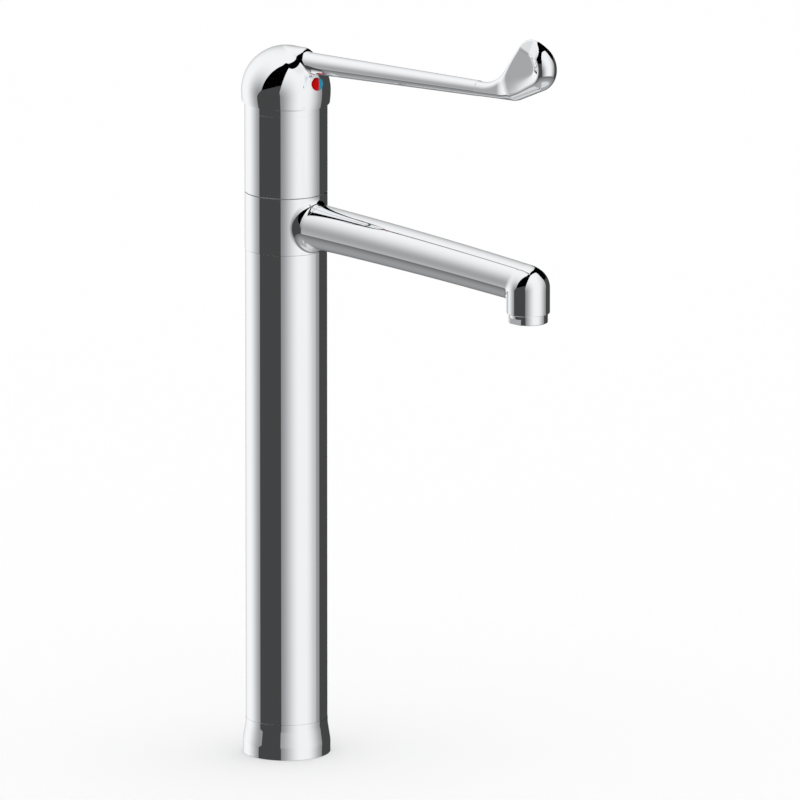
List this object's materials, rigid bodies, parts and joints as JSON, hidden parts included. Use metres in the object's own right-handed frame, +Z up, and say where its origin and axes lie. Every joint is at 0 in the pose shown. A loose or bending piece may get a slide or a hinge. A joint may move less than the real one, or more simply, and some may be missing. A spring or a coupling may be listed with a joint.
{
  "type": "hospital mixer tap",
  "caption": "Tall deck-mounted single-lever mixer tap with a swivel spout, a bell-shaped base ring and a long elbow lever that lifts for flow and turns for temperature.",
  "frame": {"origin": "centre of the base's underside, on the deck, with the two stud sockets either side of it", "axes": "+Z up along the column, +X towards the spout's outlet and the lever's end, -Y the hot side"},
  "size_m": [0.2523, 0.0546, 0.479],
  "materials": {
    "chrome_plate": "bright chromium plate on brass",
    "brass": "machined",
    "copper": "drawn copper tube",
    "stainless_steel": "machined",
    "black_rubber": "moulded",
    "white_plastic": "moulded acetal",
    "grey_plastic": "moulded acetal",
    "ceramic": "lapped alumina",
    "red_plastic": "moulded",
    "blue_plastic": "moulded"
  },
  "bodies": {
    "root": {"base_ring": "chrome_plate", "base_gasket": "black_rubber", "inlet_block": "brass", "column_clamp_screws": "stainless_steel", "column_tube": "chrome_plate", "hot_supply_tube": "copper", "cold_supply_tube": "copper", "supply_o_rings": "black_rubber", "valve_body": "brass", "spout_seals": "black_rubber", "swivel_stop_pin": "stainless_steel", "lower_glide_ring": "white_plastic", "upper_glide_ring": "white_plastic", "clamp_ring": "brass", "upper_sleeve": "chrome_plate", "cartridge_nut": "brass", "crown_cap": "chrome_plate", "cartridge_shell": "white_plastic", "cartridge_base": "grey_plastic", "cartridge_port_seals": "black_rubber", "fixed_disc": "ceramic"},
    "spout": {"spout": "chrome_plate", "aerator_housing": "chrome_plate", "aerator_insert": "grey_plastic", "aerator_mesh": "stainless_steel", "aerator_seal": "black_rubber"},
    "rotor": {"cartridge_rotor": "white_plastic", "stem_pivot_pin": "stainless_steel"},
    "lever": {"stem": "stainless_steel", "lever_handle": "chrome_plate", "handle_grub_screw": "stainless_steel", "index_button_hot": "red_plastic", "index_button_cold": "blue_plastic"},
    "disc": {"moving_disc": "ceramic", "disc_carrier": "grey_plastic"}
  },
  "joints": [
    {"name": "spout_swivel", "type": "hinge", "parent": "root", "child": "spout", "pos_m": [0, 0, 0.33435], "axis": [0, 0, 1], "range_deg": [-60, 60]},
    {"name": "temperature_turn", "type": "hinge", "parent": "root", "child": "rotor", "pos_m": [0, 0, 0.4032], "axis": [0, 0, 1], "range_deg": [-50, 50]},
    {"name": "lever_lift", "type": "hinge", "parent": "rotor", "child": "lever", "pos_m": [0, 0, 0.4032], "axis": [0, -1, 0], "range_deg": [0, 25]},
    {"name": "disc_slide", "type": "slide", "parent": "rotor", "child": "disc", "axis": [1, 0, 0], "range_m": [0, 0.00512]}
  ],
  "couplings": [
    {"joint": "disc_slide", "follows": "lever_lift", "m_per_rad": 0.011707}
  ]
}
